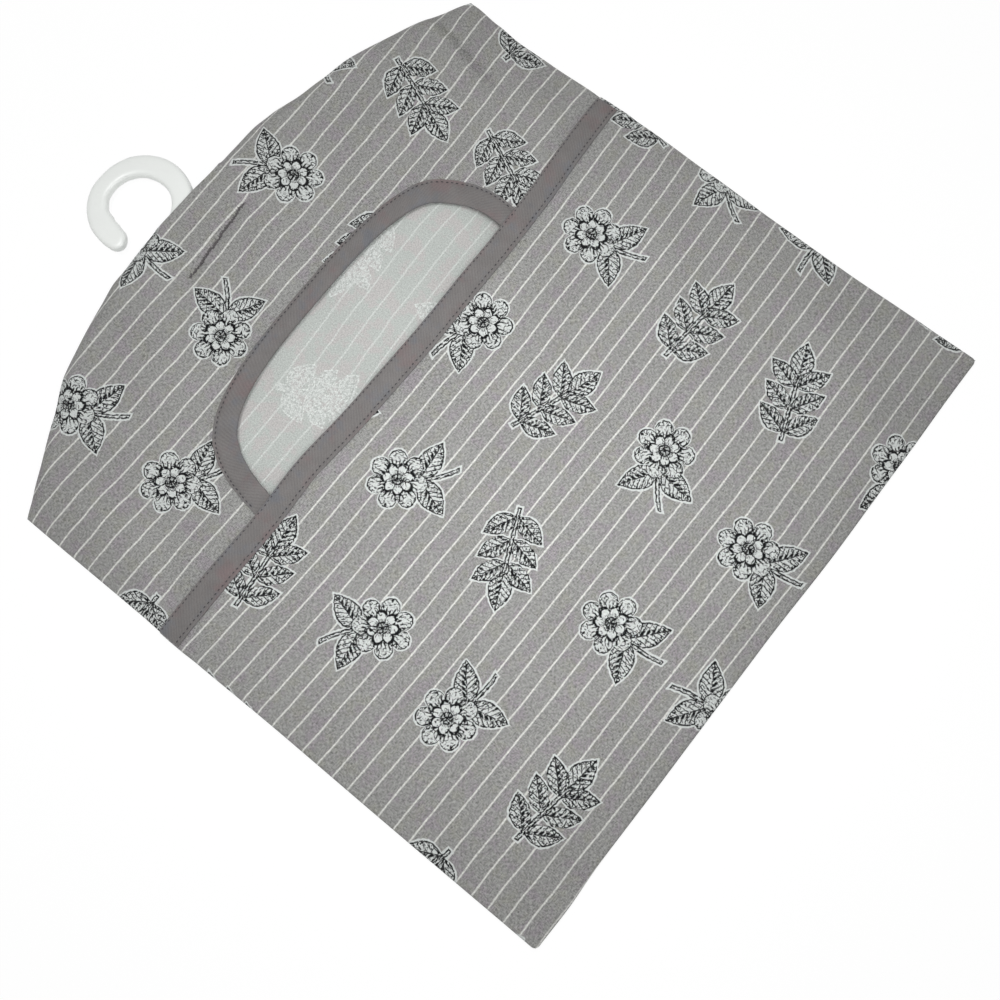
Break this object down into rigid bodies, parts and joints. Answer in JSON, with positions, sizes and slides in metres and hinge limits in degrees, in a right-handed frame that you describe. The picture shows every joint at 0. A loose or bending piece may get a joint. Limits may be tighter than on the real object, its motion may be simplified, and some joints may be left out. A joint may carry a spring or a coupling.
{
  "type": "peg bag",
  "caption": "Flat fabric bag for clothes pegs with an open mouth and a hidden plastic hanger whose hook comes out of its domed top.",
  "frame": {"origin": "on the surface the bag lies on, under the middle of the whole object, hook included", "axes": "+X to the bag's right as seen from its front, +Y up the bag towards the hook, +Z out of its front"},
  "size_m": [0.35, 0.4095, 0.0088],
  "materials": {
    "printed_canvas": "matt woven cotton canvas, grey ground with narrow white stripes and white motifs",
    "grey_tape": "matt twill-woven bias tape, plain darker grey",
    "overlocked_edge": "pale wrong side of the canvas with an overlocked edge",
    "dark_thread": "dark grey sewing thread",
    "white_plastic": "smooth moulded plastic, soft gloss"
  },
  "bodies": {
    "bag": {"back_panel": "printed_canvas", "lower_front_panel": "printed_canvas", "upper_front_panel": "printed_canvas", "mouth_binding": "grey_tape", "front_band": "grey_tape", "left_side_seam": "overlocked_edge", "right_side_seam": "overlocked_edge", "bottom_seam": "overlocked_edge", "left_shoulder_seam": "overlocked_edge", "right_shoulder_seam": "overlocked_edge", "hanger_tack": "dark_thread"},
    "hanger_unit": {"hanger": "white_plastic"}
  },
  "joints": [
    {"name": "hanger_shift", "type": "slide", "parent": "bag", "child": "hanger_unit", "axis": [0.9739, 0.2271, 0], "range_m": [0, 0.0198]}
  ]
}
